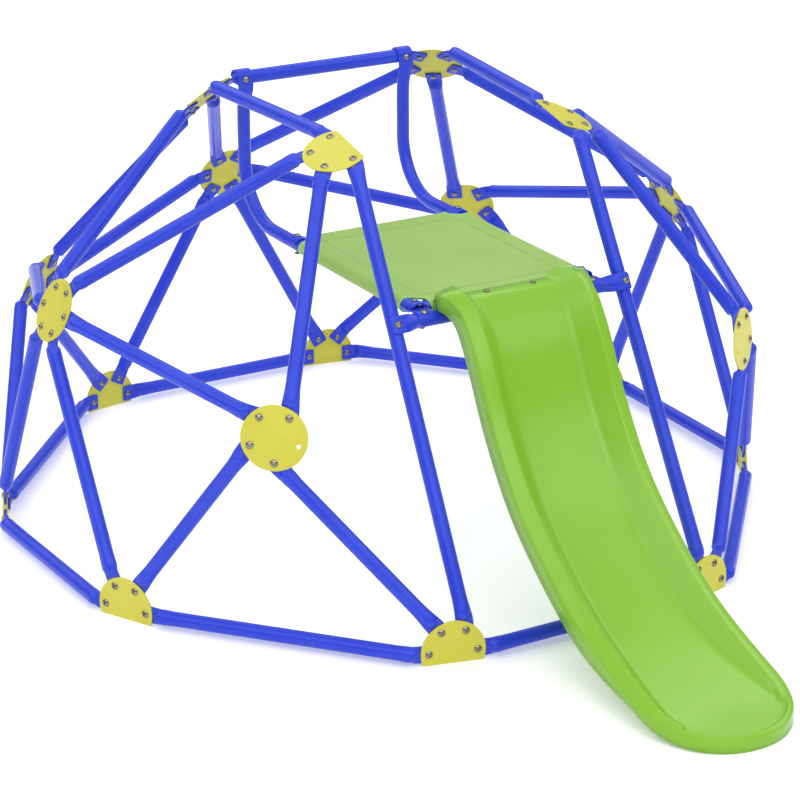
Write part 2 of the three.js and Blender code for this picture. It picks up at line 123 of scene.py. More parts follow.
class Nodes:
    """Short names for building a material's node tree."""

    def __init__(self, name):
        self.material = bpy.data.materials.new(name)
        self.material.use_nodes = True
        self.tree = self.material.node_tree
        self.shader = self.tree.nodes["Principled BSDF"]
        self.coords = self.tree.nodes.new("ShaderNodeTexCoord")

    def feed(self, socket, value):
        """Links an output to an input, or sets the input to a value."""
        if isinstance(value, bpy.types.NodeSocket):
            self.tree.links.new(value, socket)
        else:
            socket.default_value = value

    def new(self, kind, inputs=None, **values):
        """A node with some of its inputs fed, and its other settings given by name."""
        node = self.tree.nodes.new("ShaderNode" + kind)
        for key, value in values.items():
            setattr(node, key, value)
        for key, value in (inputs or {}).items():
            self.feed(node.inputs[key], value)
        return node

    def noise(self, scale, detail=3.0, roughness=0.55):
        inputs = {"Scale": scale, "Detail": detail, "Roughness": roughness}
        return self.new("TexNoise", {**inputs, "Vector": self.coords.outputs["Object"]}).outputs["Fac"]

    def ramp(self, value, stops):
        node = self.new("ValToRGB", {"Fac": value})
        elements = node.color_ramp.elements
        while len(elements) < len(stops):
            elements.new(0.5)
        for element, (position, color) in zip(elements, stops):
            element.position = position
            element.color = (*color, 1.0)
        return node.outputs["Color"]

    def remap(self, value, low, high, from_low=0.0, from_high=1.0):
        inputs = {"From Min": from_low, "From Max": from_high, "To Min": low, "To Max": high}
        return self.new("MapRange", {**inputs, "Value": value}).outputs["Result"]

    def two_tone(self, value, a, b):
        """Colour from a to b over the range that noise mostly fills."""
        return self.ramp(value, list(zip(NOISE_SPAN, (a, b))))

    def vary(self, low, high, scale, detail=3.0):
        """A value that wanders between low and high over the surface."""
        return self.remap(self.noise(scale, detail), low, high, *NOISE_SPAN)

    def math(self, operation, a, b):
        return self.new("Math", {0: a, 1: b}, operation=operation).outputs["Value"]

    def mix_color(self, factor, a, b):
        node = self.new("Mix", data_type="RGBA")
        sockets = [s for s in node.inputs if s.enabled]
        for socket, value in zip(sockets, (factor, a, b)):
            self.feed(socket, (*value, 1.0) if isinstance(value, tuple) else value)
        return [s for s in node.outputs if s.enabled][0]

    def bump(self, height, strength, distance, **normal):
        inputs = {"Height": height, "Strength": strength, "Distance": distance}
        return self.new("Bump", {**inputs, **normal}).outputs["Normal"]

    def set(self, **values):
        for key, value in values.items():
            self.feed(self.shader.inputs[key.replace("_", " ")], value)


def srgb(r, g, b):
    return tuple(((c / 255 + 0.055) / 1.055) ** 2.4 if c > 10 else c / 3294.6 for c in (r, g, b))


# features per metre of surface
COAT_BLOTCHES = 9.0
COAT_FADING = 2.3
COAT_SHEEN = 400.0
COAT_GRAIN = 160.0
PLASTIC_FLOW = 3.0
PLASTIC_FADING = 1.1
PLASTIC_SHEEN = 22.0
PLASTIC_PEEL = 120.0
STEEL_TONES = 260.0
STEEL_SHEEN = 500.0
STEEL_SCRATCHES = 1400.0
CLOTH_SHADES = 7.0
CLOTH_FUZZ = 900.0
CLOTH_RIPPLES = 18.0
THREAD_FUZZ = 700.0
WAVE_UNIT = math.tau / 20       # a wave texture's scale for one band per metre


def coated_steel(name, deep, main, worn, roughness, gloss):
    """Powder coating: slightly uneven colour, paler where it has faded, with a very faint grain."""
    m = Nodes(name)
    color = m.two_tone(m.noise(COAT_BLOTCHES, 4.0), deep, main)
    faded = m.remap(m.noise(COAT_FADING, 2.0), 0.0, 0.25, *WORN_SPAN)
    m.set(Base_Color=m.mix_color(faded, color, worn))
    m.set(Roughness=m.vary(roughness - 0.03, roughness + 0.04, COAT_SHEEN, 2.0))
    m.set(Normal=m.bump(m.noise(COAT_GRAIN, 1.0), 0.012, 0.002))
    m.set(Specular_IOR_Level=gloss)
    return m.material


def moulded_plastic(name, deep, main, worn):
    """Blow-moulded polyethylene: glossy skin, faint flow marks, a trace of orange peel."""
    m = Nodes(name)
    color = m.two_tone(m.noise(PLASTIC_FLOW, 5.0, 0.6), deep, main)
    faded = m.remap(m.noise(PLASTIC_FADING, 2.0), 0.0, 0.16, *WORN_SPAN)
    m.set(Base_Color=m.mix_color(faded, color, worn))
    m.set(Roughness=m.vary(0.15, 0.21, PLASTIC_SHEEN, 4.0))
    m.set(Normal=m.bump(m.noise(PLASTIC_PEEL, 1.0), 0.01, 0.002))
    m.set(Specular_IOR_Level=0.36)
    m.set(Subsurface_Weight=0.06, Subsurface_Scale=0.01, Subsurface_Radius=(0.6, 1.0, 0.3))
    return m.material


def bright_steel(name):
    """Zinc-plated fastener: small colour changes, fine scratches, painted shade in the recesses."""
    m = Nodes(name)
    color = m.two_tone(m.noise(STEEL_TONES, 4.0), srgb(112, 106, 92), srgb(168, 163, 148))
    # painted shade: ambient occlusion pulls the colour towards a dark brown in the recesses
    recess = m.new("AmbientOcclusion", {"Distance": 0.004})
    painted_shade = m.remap(recess.outputs["AO"], 1.0, 0.0, 0.35, 0.85)
    m.set(Base_Color=m.mix_color(m.math("MULTIPLY", painted_shade, 0.6), color, srgb(84, 78, 66)))
    m.set(Metallic=0.95, Roughness=m.vary(0.14, 0.26, STEEL_SHEEN))
    m.set(Normal=m.bump(m.noise(STEEL_SCRATCHES, 2.0), 0.06, 0.0001))
    return m.material


def woven(name, deep, main, light, pitch):
    """Open weave of round yarns laid out in the cloth's own flat coordinates, in metres."""
    m = Nodes(name)
    uv = m.new("UVMap", uv_map="flat_pattern")
    yarns = []
    for direction in ("X", "Y"):
        wave = m.new("TexWave", {"Scale": WAVE_UNIT / pitch, "Distortion": 0.0, "Vector": uv.outputs["UV"]},
                     wave_type="BANDS", bands_direction=direction, wave_profile="SIN")
        yarns.append(wave.outputs["Fac"])
    height = m.math("MAXIMUM", m.math("MULTIPLY", yarns[0], 0.85), yarns[1])
    base = m.two_tone(m.noise(CLOTH_SHADES, 4.0), main, light)
    m.set(Base_Color=m.mix_color(m.remap(height, 0.75, 0.0, 0.1, 0.75), base, deep))
    m.set(Roughness=m.vary(0.6, 0.85, CLOTH_FUZZ))
    ripples = m.bump(m.noise(CLOTH_RIPPLES, 3.0), 0.12, 0.004)
    m.set(Normal=m.bump(height, 0.35, 0.0005, Normal=ripples))
    m.set(Sheen_Weight=0.25, Sheen_Roughness=0.5, Specular_IOR_Level=0.3)
    return m.material


def thread(name, deep, main, scale):
    """Twisted yarn or bias tape: fine slanting fibres."""
    m = Nodes(name)
    fibres = m.new("TexWave", {"Scale": scale, "Distortion": 1.5, "Vector": m.coords.outputs["Object"]},
                   wave_type="BANDS", bands_direction="DIAGONAL").outputs["Fac"]
    m.set(Base_Color=m.ramp(fibres, [(0.2, deep), (0.8, main)]))
    m.set(Roughness=m.vary(0.55, 0.8, THREAD_FUZZ))
    m.set(Normal=m.bump(fibres, 0.3, 0.0004), Sheen_Weight=0.2)
    return m.material


TUBE_PAINT = coated_steel("blue_powder_coat", deep=srgb(34, 57, 203), main=srgb(43, 68, 210),
                          worn=srgb(77, 97, 223), roughness=0.30, gloss=0.32)
PLATE_PAINT = coated_steel("yellow_powder_coat", deep=srgb(198, 192, 40), main=srgb(207, 201, 52),
                           worn=srgb(228, 225, 120), roughness=0.42, gloss=0.60)
SLIDE_PLASTIC = moulded_plastic("green_moulded_plastic", deep=srgb(127, 182, 42), main=srgb(133, 187, 50),
                                worn=srgb(173, 213, 108))
STEEL = bright_steel("zinc_plated_steel")
CLOTH = woven("woven_green_mesh", deep=srgb(112, 154, 56), main=srgb(155, 195, 88),
              light=srgb(163, 203, 98), pitch=0.0022)
STITCH = thread("stitching_thread", deep=srgb(112, 152, 66), main=srgb(142, 182, 88), scale=900.0)
BINDING = thread("edge_binding", deep=srgb(140, 205, 84), main=srgb(170, 226, 118), scale=500.0)


# ---------------------------------------------------------------- mesh helpers
def face_outward(mesh, weld=False):
    """Turns a closed mesh's faces outward; with weld, points that coincide are merged first."""
    work = bmesh.new()
    work.from_mesh(mesh)
    if weld:
        bmesh.ops.remove_doubles(work, verts=work.verts, dist=WELD)
    bmesh.ops.recalc_face_normals(work, faces=work.faces)
    work.to_mesh(mesh)
    work.free()


def circle(u, v, sides):
    """Offsets round a closed ring, from its two half axes."""
    turns = [math.tau * k / sides for k in range(sides)]
    return [u * math.cos(a) + v * math.sin(a) for a in turns]


class Solid:
    """Collects points (millimetres) and faces and becomes one object."""

    def __init__(self):
        self.points = []
        self.faces = []

    def add(self, points, faces):
        start = len(self.points)
        self.points.extend(points)
        self.faces.extend([tuple(start + i for i in face) for face in faces])

    def skin(self, rings, closed_ring=True, caps=True):
        count = len(rings[0])
        faces = []
        wrap = count if closed_ring else count - 1
        for r in range(len(rings) - 1):
            for k in range(wrap):
                a = r * count + k
                b = r * count + (k + 1) % count
                faces.append((a, b, b + count, a + count))
        if caps:
            last = (len(rings) - 1) * count
            faces.append(tuple(reversed(range(count))))
            faces.append(tuple(last + k for k in range(count)))
        self.add([p for ring in rings for p in ring], faces)

    def make(self, name, material, slot_name, smooth_angle, recalculate=True):
        mesh = bpy.data.meshes.new(name)
        mesh.from_pydata([tuple(p * MM) for p in self.points], [], self.faces)
        if recalculate:
            face_outward(mesh)
        obj = put(name, mesh)
        mesh.materials.append(material)
        mesh.set_sharp_from_angle(angle=math.radians(smooth_angle))
        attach(obj, "root")
        return obj


# ---------------------------------------------------------------- hub frames, read from the CAD plates
PAST_HOLES = BOLT_CIRCLE + SPARE_HOLE_RADIUS + 2


def circle_centre(points):
    """Least-squares centre of points in a plane."""
    a = np.column_stack([2 * points, np.ones(len(points))])
    return np.linalg.lstsq(a, (points**2).sum(1), rcond=None)[0][:2]


class Hub:
    """A plate's place: centre, outward normal, the in-plane axes east and up, and its bolt angles."""

    def __init__(self, name):
        node = NODES["plate_" + name]
        points = np.array([v.co for v in node.data.vertices]) / MM
        middle = points.mean(0)
        self.name = name
        self.ring = name.split("_")[0]
        self.normal = np.linalg.svd(points - middle, full_matrices=False)[2][2]
        if self.normal @ (middle - vec(0, DOME_Y, 300)) < 0:
            self.normal = -self.normal
        self.east = unit(np.cross(vec(0, 0, 1), self.normal))
        self.up = np.cross(self.normal, self.east)
        flat = np.column_stack([(points - middle) @ self.east, (points - middle) @ self.up])
        rim = np.linalg.norm(flat, axis=1) > PAST_HOLES
        if rim.sum() > 8 and not rim.all():
            flat = flat[rim]
        x, y = circle_centre(flat)
        self.centre = middle + self.east * x + self.up * y
        self.azimuth = math.degrees(math.atan2(self.centre[1] - DOME_Y, self.centre[0]))
        self.bolts = []

    def point(self, angle, radius, depth):
        """A point on the plate, at an angle in degrees from up towards east."""
        a = math.radians(angle)
        return (self.centre + self.up * radius * math.cos(a) + self.east * radius * math.sin(a)
                + self.normal * depth)


HUB_NAMES = [name.removeprefix("plate_") for name in sorted(NODES) if name.startswith("plate_")]
HUBS = {name: Hub(name) for name in HUB_NAMES}
# angle of the hole that a hub keeps for a neighbour in each ring, in degrees from the top of the plate
HOLE_ANGLES = {
    "top": {"top": 36, "upper": 108, "lower": 180, "base": 108},
    "upper": {"top": 30, "lower": 90, "base": 150},
    "lower": {"top": 0, "upper": 72, "base": 144},
    "base": {"lower": 30, "upper": 30, "top": -30, "base": 90},
}
LOWER_TURN = {
    "lower_front_left": 36,
    "lower_front_right": -36,
    "lower_rear_left": -36,
    "lower_rear_right": 36,
}


def hole_angle(hub, other):
    turn = (other.azimuth - hub.azimuth + 180) % 360 - 180
    angle = HOLE_ANGLES[hub.ring][other.ring]
    side = 1 if angle in (0, 180) or turn > 0 else -1
    return angle * side + LOWER_TURN.get(hub.name, 0)


# ---------------------------------------------------------------- tube sections
CORNER_STEPS = 4
FACE_STEPS = 12
STRAP_CORNER = 2.2


def flat_section(half_width, half_thickness, radius):
    """Rounded rectangle as points and their share of the way round, starting at +x."""
    radius = min(radius, half_thickness)
    points = []
    corners = [(1, 1, 0), (-1, 1, 90), (-1, -1, 180), (1, -1, 270)]
    for sx, sy, start in corners:
        cx = sx * (half_width - radius)
        cy = sy * (half_thickness - radius)
        for i in range(CORNER_STEPS + 1):
            a = math.radians(start + 90 * i / CORNER_STEPS)
            points.append((cx + radius * math.cos(a), cy + radius * math.sin(a)))
        if sy * sx > 0:
            for i in range(1, FACE_STEPS):
                points.append((cx - 2 * cx * i / FACE_STEPS, cy + sy * radius))
    points = np.array(points)
    travelled = lengths_along(np.vstack([points, points[:1]]))
    start_share = (half_thickness - radius + 1e-9) / travelled[-1]
    return points, travelled[:-1] / travelled[-1] + start_share


SECTION, SHARE = flat_section(FLAT_HALF_WIDTH, FLAT_HALF_THICKNESS, STRAP_CORNER)
ROUND = np.column_stack([np.cos(math.tau * SHARE), np.sin(math.tau * SHARE)])


def section_points(width_inset, thickness_inset, roundness, radius, arch=0.0):
    """Between the flat strap (roundness 0) and the round tube (1). With arch, its middle swells first."""
    flat = np.column_stack([
        SECTION[:, 0] * (1 - width_inset / FLAT_HALF_WIDTH),
        SECTION[:, 1] * (1 - thickness_inset / FLAT_HALF_THICKNESS),
    ])
    spread = np.abs(SECTION[:, 0]) / FLAT_HALF_WIDTH
    delay = arch * spread**2
    weight = ease(roundness * (1 + delay.max()) - delay)[:, None]
    if roundness >= 1:
        weight = np.ones_like(weight)
    return mix(flat, ROUND * radius, weight)


def ring(centre, u, v, shape):
    return [centre + u * x + v * y for x, y in shape]


def turned(v, axis, angle):
    c, s = math.cos(angle), math.sin(angle)
    return v * c + np.cross(axis, v) * s + axis * (axis @ v) * (1 - c)


# ---------------------------------------------------------------- struts
SHEET_OFFSET = PLATE_THICKNESS / 2 + CONTACT_GAP + FLAT_HALF_THICKNESS


def strut_ends(a, b):
    rough = [a.point(hole_angle(a, b), BOLT_CIRCLE, -SHEET_OFFSET),
             b.point(hole_angle(b, a), BOLT_CIRCLE, -SHEET_OFFSET)]
    ends = []
    for hub, bolt, target in ((a, rough[0], rough[1]), (b, rough[1], rough[0])):
        along = target - bolt
        along = unit(along - hub.normal * (along @ hub.normal))
        ends.append((hub, bolt, along, bolt + along * FLAT_LENGTH))
    return ends


# distance from the free end, inset of the strap's sides and of its faces
TIP_ROUNDING = [(0.0, 2.6, 0.8), (0.5, 1.4, 0.25), (1.4, 0.5, 0.0), (3.0, 0.0, 0.0)]
SADDLE_ROUNDING = [(0.0, 8.0, 0.8), (0.5, 5.8, 0.2), (1.5, 3.8, 0.0),
                   (3.2, 2.0, 0.0), (5.5, 0.7, 0.0), (8.0, 0.0, 0.0)]
BEND_REACH = 15.0               # the bend is rounded this far to both sides
BEND_STEPS = 14
TWIST_STEPS = 14
STRAP_RINGS = (24.0, 17.0)      # distances before the bend
SWELL_START = -10.0             # distances past the bend: the strap starts to swell,
SWELL_END = 17.0                # the tube is fully round
NARROWING = 44.0                # and it is down to its own width
TUBE_RINGS = (SWELL_END, 21.0, 26.0, 32.0, 38.0, NARROWING)
PRESS_ARCH = 0.8


def narrowed(shape, past_bend):
    """A section at the width it has this far past the bend: the pressed end is wider than the tube."""
    share = float(ease((past_bend + BEND_REACH) / (NARROWING + BEND_REACH)))
    return shape * (mix(FLAT_HALF_WIDTH, TUBE_RADIUS, share) / np.abs(shape[:, 0]).max(), 1)


def end_rings(end, run, travel):
    """Rings from the tip of a pressed end to the full round tube, and the last ring's v axis."""
    hub, _, along, bend = end
    flat_run = along * travel
    v_flat = hub.normal
    v_run = unit(hub.normal - run * (hub.normal @ run))
    flat_total = FLAT_LENGTH + END_PAST_BOLT
    rings = []

    def place(centre, direction, v, shape):
        v = unit(v - direction * (v @ direction))
        rings.append(ring(centre, np.cross(v, direction), v, shape))

    for back, side_in, face_in in TIP_ROUNDING:
        centre = bend - along * (flat_total - back)
        place(centre, flat_run, v_flat, section_points(side_in, face_in, 0.0, TUBE_RADIUS))
    for back in STRAP_RINGS:
        place(bend - along * back, flat_run, v_flat, section_points(0, 0, 0.0, TUBE_RADIUS))
    away = run * travel
    before, after = bend - along * BEND_REACH, bend + away * BEND_REACH
    for i in range(BEND_STEPS + 1):
        t = i / BEND_STEPS
        past = mix(-BEND_REACH, BEND_REACH, t)
        roundness = max(0.0, (past - SWELL_START) / (SWELL_END - SWELL_START))
        shape = narrowed(section_points(0, 0, roundness, TUBE_RADIUS, PRESS_ARCH), past)
        place(bezier(before, bend, after, t), unit(mix(flat_run, run, t)), mix(v_flat, v_run, t), shape)
    for past in TUBE_RINGS:
        place(bend + away * past, run, v_run, narrowed(ROUND * TUBE_RADIUS, past))
    place(bend + away * PRESS_LENGTH, run, v_run, ROUND * TUBE_RADIUS)
    return rings, v_run


def build_strut(name, a, b, node):
    """Tube between hubs a and b, with both ends pressed flat and bent onto their plates."""
    end_a, end_b = strut_ends(a, b)
    run = unit(end_b[3] - end_a[3])
    rings_a, v_a = end_rings(end_a, run, 1)
    rings_b, v_b = end_rings(end_b, run, -1)
    twist = math.atan2(v_b @ np.cross(run, v_a), v_b @ v_a)
    if abs(twist) > math.pi / 2:
        half = len(SECTION) // 2
        rings_b = [shape[half:] + shape[:half] for shape in rings_b]
        twist -= math.copysign(math.pi, twist)
    start = end_a[3] + run * PRESS_LENGTH
    stop = end_b[3] - run * PRESS_LENGTH
    middle = []
    for i in range(1, TWIST_STEPS):
        t = i / TWIST_STEPS
        v = turned(v_a, run, twist * ease(t))
        middle.append(ring(mix(start, stop, t), np.cross(v, run), v, ROUND * TUBE_RADIUS))
    solid = Solid()
    solid.skin(rings_a + middle + rings_b[::-1])
    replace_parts(solid.make(name, TUBE_PAINT, "tube_paint", SMOOTH_ANGLE), node)
    for hub, other in ((a, b), (b, a)):
        hub.bolts.append(hole_angle(hub, other))


LEG_PAIRS = {
    "front_left": ("lower_front_left", "top_front_left"),
    "front_right": ("lower_front_right", "top_front_right"),
    "side_front_left": ("upper_left", "lower_front_left"),
    "side_front_right": ("upper_right", "lower_front_right"),
    "side_rear_left": ("upper_left", "lower_rear_left"),
    "side_rear_right": ("upper_right", "lower_rear_right"),
    "rear_left": ("upper_rear", "lower_rear_left"),
    "rear_right": ("upper_rear", "lower_rear_right"),
}
for node in sorted(NODES):
    for prefix, ring_name in (("strut_", ""), ("ground_strut_", "base_")):
        if node.startswith(prefix):
            first, second = (HUBS[ring_name + end] for end in node.removeprefix(prefix).split("_to_"))
            build_strut(node.replace("strut_", "tube_"), first, second, node)
for base, tops in LEG_PAIRS.items():
    for top in tops:
        build_strut(f"leg_tube_{base}_to_{top}", HUBS[top], HUBS["base_" + base], "leg_pair_" + base)


# ---------------------------------------------------------------- hub plates
PLATE_BEVEL = 0.6
BEVEL_STEPS = 2
RIM_STEPS = 96
HOLE_STEPS = 24
BOLT_HOLE_RADIUS = 4.5
SPARE_HOLE_ANGLE = 72
EDGE_CUT_ANGLE = 36
FACE_ALIGNMENT = 0.999          # a face turned this close to the plate's normal is part of its flat side


def plate_outline(hub):
    """Angles of the rim's points; a cut plate ends at the two corners of its straight edge."""
    if hub.ring == "base":
        distance, facing = BASE_HEIGHT, 180
    elif hub.name.startswith("top_front"):
        distance, facing = PLATE_EDGE_CUT, EDGE_CUT_ANGLE * (1 if hub.name.endswith("left") else -1)
    else:
        return [math.tau * i / RIM_STEPS for i in range(RIM_STEPS)]
    half = math.acos(distance / PLATE_RADIUS)
    start = math.radians(90 - facing) + half
    return [start + (math.tau - 2 * half) * i / RIM_STEPS for i in range(RIM_STEPS + 1)]


def ring_curve(data, points):
    """Adds a closed outline to a curve."""
    spline = data.splines.new("POLY")
    spline.points.add(len(points) - 1)
    for point, (x, y) in zip(spline.points, points):
        point.co = (x * MM, y * MM, 0, 1)
    spline.use_cyclic_u = True


def build_plate(hub):
    """Bevelled plate with its holes, filled from flat outlines and then set on its hub."""
    data = bpy.data.curves.new("plate_outline", "CURVE")
    data.dimensions = "2D"
    data.fill_mode = "BOTH"
    data.extrude = (PLATE_THICKNESS / 2 - PLATE_BEVEL) * MM
    data.bevel_depth = PLATE_BEVEL * MM
    data.bevel_resolution = BEVEL_STEPS
    data.offset = -PLATE_BEVEL * MM
    ring_curve(data, [(PLATE_RADIUS * math.cos(a), PLATE_RADIUS * math.sin(a)) for a in plate_outline(hub)])
    holes = [(angle, BOLT_HOLE_RADIUS) for angle in hub.bolts]
    if hub.name.startswith("lower_front"):
        side = 1 if hub.name.endswith("left") else -1
        holes.append((SPARE_HOLE_ANGLE * side + LOWER_TURN[hub.name], SPARE_HOLE_RADIUS))
    for angle, radius in holes:
        a = math.radians(90 - angle)
        cx, cy = BOLT_CIRCLE * math.cos(a), BOLT_CIRCLE * math.sin(a)
        ring_curve(data, [(cx + radius * math.cos(t), cy - radius * math.sin(t))
                          for t in (math.tau * i / HOLE_STEPS for i in range(HOLE_STEPS))])
    drawn = bpy.data.objects.new("drawn", data)
    mesh = bpy.data.meshes.new_from_object(drawn)
    bpy.data.objects.remove(drawn)
    bpy.data.curves.remove(data)
    face_outward(mesh, weld=True)
    basis = Matrix(np.column_stack([hub.east, hub.up, hub.normal]).tolist()).to_4x4()
    basis.translation = Vector(hub.centre * MM)
    mesh.transform(basis)
    mesh.name = "hub_plate_" + hub.name
    mesh.materials.clear()
    mesh.materials.append(PLATE_PAINT)
    obj = put("hub_plate_" + hub.name, mesh)
    facing = Vector(hub.normal)
    mesh.set_sharp_from_angle(angle=math.radians(SMOOTH_ANGLE))
    for polygon in mesh.polygons:
        polygon.use_smooth = abs(polygon.normal.dot(facing)) < FACE_ALIGNMENT
    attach(obj, "root")
    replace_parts(obj, "plate_" + hub.name)


for hub in HUBS.values():
    build_plate(hub)


# ---------------------------------------------------------------- bolts
HEAD_RADIUS = 8.6
FRAME_HEAD_RADIUS = 7.6
CLOTH_BAR_HEAD_RADIUS = 7.0
SCREW_HEAD_RADIUS = 6.5
HEAD_HEIGHT = 4.6
HEAD_RIM = 0.9
NUT_RADIUS = 7.2
NUT_HEIGHT = 5.2
NUT_RIM = 1.6
CHAMFER = 0.5
CHAMFER_HEIGHT = 0.4
DOME_POWER = 1.3
DOME_STEPS = 6
SOCKET_RADIUS = 2.7
SOCKET_DEPTH = 1.5
SOCKET_EDGE = 0.4               # the socket starts this far below the top of the dome
HEX_SPREAD = 1.08
SHANK_RADIUS = 4.0
SMALLEST_RING = 0.6
BOLT_SIDES = 24
BOLT_SMOOTH_ANGLE = 40
OFF_AXIS = vec(0.31, 0.17, 0.93)    # along no bolt


def dome(radius, height, rim, z, direction, socket):
    """Half profile of a button head from its contact face to the middle, as (radius, z)."""
    profile = [(radius - CHAMFER, z)]
    profile += [(radius, z + direction * height_up) for height_up in (CHAMFER_HEIGHT, rim)]
    for i in range(1, DOME_STEPS + 1):
        a = math.pi / 2 * i / DOME_STEPS
        r = mix(radius, socket + CHAMFER, math.sin(a) ** DOME_POWER)
        profile.append((r, z + direction * (rim + (height - rim) * math.sin(a))))
    if socket:
        profile.append((socket, z + direction * (height - SOCKET_EDGE)))
        profile.append((socket - 0.1, z + direction * (height - SOCKET_EDGE - SOCKET_DEPTH)))
    return profile


def bolt(solid, origin, axis, grip, head=HEAD_RADIUS):
    """One bolt along axis. origin is the contact face of its head, grip the thickness it holds."""
    top = dome(head, HEAD_HEIGHT, HEAD_RIM, 0.0, 1, SOCKET_RADIUS)
    end = dome(NUT_RADIUS, NUT_HEIGHT, NUT_RIM, -grip, -1, 0.0)
    profile = top[::-1] + [(SHANK_RADIUS, 0.0), (SHANK_RADIUS, -grip)] + end
    side = unit(np.cross(axis, OFF_AXIS))
    other = np.cross(axis, side)
    rings = []
    for index, (r, z) in enumerate(profile):
        points = []
        for k in range(BOLT_SIDES):
            a = math.tau * k / BOLT_SIDES
            reach = max(r, SMALLEST_RING)
            if index < 2:
                fold = (a % (math.pi / 3)) - math.pi / 6
                reach = r * math.cos(math.pi / 6) / math.cos(fold) * HEX_SPREAD
            points.append(origin + side * reach * math.cos(a) + other * reach * math.sin(a) + axis * z)
        rings.append(points)
    solid.skin(rings)


STACK = PLATE_THICKNESS + CONTACT_GAP + 2 * FLAT_HALF_THICKNESS
for hub in HUBS.values():
    solid = Solid()
    for angle in hub.bolts:
        bolt(solid, hub.point(angle, BOLT_CIRCLE, PLATE_THICKNESS / 2), hub.normal, STACK)
    solid.make("bolts_" + hub.name, STEEL, "bolt_steel", BOLT_SMOOTH_ANGLE)


# ---------------------------------------------------------------- platform frame
BAR_ARCH = 0.35
PATH_SPACING = 4.0


def sweep(stations, width_axis):
    """Solid along stations of (centre, roundness, radius, side inset, face inset).

    The strap's width lies along width_axis.
    """
    rings = []
    for i, (centre, roundness, radius, side_in, face_in) in enumerate(stations):
        before = stations[max(i - 1, 0)][0]
        after = stations[min(i + 1, len(stations) - 1)][0]
        normal = unit(np.cross(unit(after - before), width_axis))
        shape = section_points(side_in, face_in, roundness, radius, BAR_ARCH)
        rings.append(ring(centre, width_axis, normal, shape))
    solid = Solid()
    solid.skin(rings)
    return solid


def smooth_path(points, weights, spacing):
    """Centripetal Catmull-Rom line through points, with the weights carried along it."""
    p = np.array(points, float)
    w = np.array(weights, float)
    knots = np.concatenate([[0], np.cumsum(np.sqrt(np.linalg.norm(np.diff(p, axis=0), axis=1)))])
    out = []
    for i in range(len(p) - 1):
        p0 = p[i - 1] if i else 2 * p[0] - p[1]
        p3 = p[i + 2] if i + 2 < len(p) else 2 * p[-1] - p[-2]
        t0 = knots[i - 1] if i else knots[0] - (knots[1] - knots[0])
        t3 = knots[i + 2] if i + 2 < len(p) else 2 * knots[-1] - knots[-2]
        t1, t2 = knots[i], knots[i + 1]
        steps = max(1, int(np.linalg.norm(p[i + 1] - p[i]) / spacing))
        for k in range(steps):
            t = t1 + (t2 - t1) * k / steps
            a1 = p0 * (t1 - t) / (t1 - t0) + p[i] * (t - t0) / (t1 - t0)
            a2 = p[i] * (t2 - t) / (t2 - t1) + p[i + 1] * (t - t1) / (t2 - t1)
            a3 = p[i + 1] * (t3 - t) / (t3 - t2) + p3 * (t - t2) / (t3 - t2)
            b1 = a1 * (t2 - t) / (t2 - t0) + a2 * (t - t0) / (t2 - t0)
            b2 = a2 * (t3 - t) / (t3 - t1) + a3 * (t - t1) / (t3 - t1)
            point = b1 * (t2 - t) / (t2 - t1) + b2 * (t - t1) / (t2 - t1)
            out.append((point, mix(w[i], w[i + 1], k / steps)))
    out.append((p[-1], w[-1]))
    return out


def stations_of(path, radius):
    """Adds the rounded corners of the strap's two free ends to a path."""
    table = np.array([p for p, _ in path])
    weights = np.array([w for _, w in path])
    lengths = lengths_along(table)
    total = lengths[-1]
    from_end, side_in, face_in = (np.array(column) for column in zip(*SADDLE_ROUNDING))
    middle = lengths[(lengths > from_end[-1] + 1) & (lengths < total - from_end[-1] - 1)]
    result = []
    for mark in sorted({*from_end, *(total - from_end), *middle}):
        centre = np.array([np.interp(mark, lengths, table[:, k]) for k in range(3)])
        near = min(mark, total - mark)
        insets = [float(np.interp(near, from_end, column)) for column in (side_in, face_in)]
        result.append((centre, float(np.interp(mark, lengths, weights)), radius, *insets))
    return result


BEAM = strut_ends(HUBS["top_rear_left"], HUBS["top_rear_right"])[0][3]
BAR_Y = DOME_Y + CROSS_BAR_Y
OVER_TUBE = TUBE_RADIUS + CONTACT_GAP + FLAT_HALF_THICKNESS     # axis of a tube to the strap laid over it
OVER_SIDE = HANGER_RADIUS + CONTACT_GAP + FLAT_HALF_THICKNESS
LEG_GAP = 0.4
SETTLE_START = 10.0             # inside the leg's axis: the cross bar starts back towards its own line
SETTLE_RUN = 56.0               # and how far it takes

# where straps lie round a tube, in degrees
HOOK_ANGLES = (-8, 12, 40, 65, 90, 115, 140, 165, 190)
FOOT_ANGLES = (80, 105, 130, 155, 175)
LEG_ANGLES = (48, 34, 18, 0, -18)
SIDE_ANGLES = (20, 38, 58, 78, 98, 116)

# runs between strap and round tube: distance from the tube the strap is on, height above it, roundness
FOOT_RUNS = [(82, 13, 1.0), (54, 14, 0.6), (32, OVER_TUBE - 3, 0.1)]
SIDE_RUNS = [(22, 8, 0.25), (34, 2, 0.7), (50, 0, 1.0), (70, 0, 1.0)]
LEG_RUNS = (18, 30, 42, 54, 66, 80)     # distances only


def wrapped(centre, across, up, reach, angles):
    """Strap stations round a tube, as (point, roundness); angles in degrees run from across to up."""
    turns = [math.radians(angle) for angle in angles]
    return [(centre + across * reach * math.cos(a) + up * reach * math.sin(a), 0.0) for a in turns]


def mirrored(half):
    """A line from its half on the +x side."""
    return half + [(point * MIRROR, roundness) for point, roundness in half[::-1]]


def build_bar(name, line, radius, width_axis, node=None):
    """Tube along (point, roundness) pairs."""
    path = smooth_path([p for p, _ in line], [w for _, w in line], PATH_SPACING)
    obj = sweep(stations_of(path, radius), width_axis).make(name, TUBE_PAINT, "tube_paint", SMOOTH_ANGLE)
    if node:
        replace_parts(obj, node)
    return obj


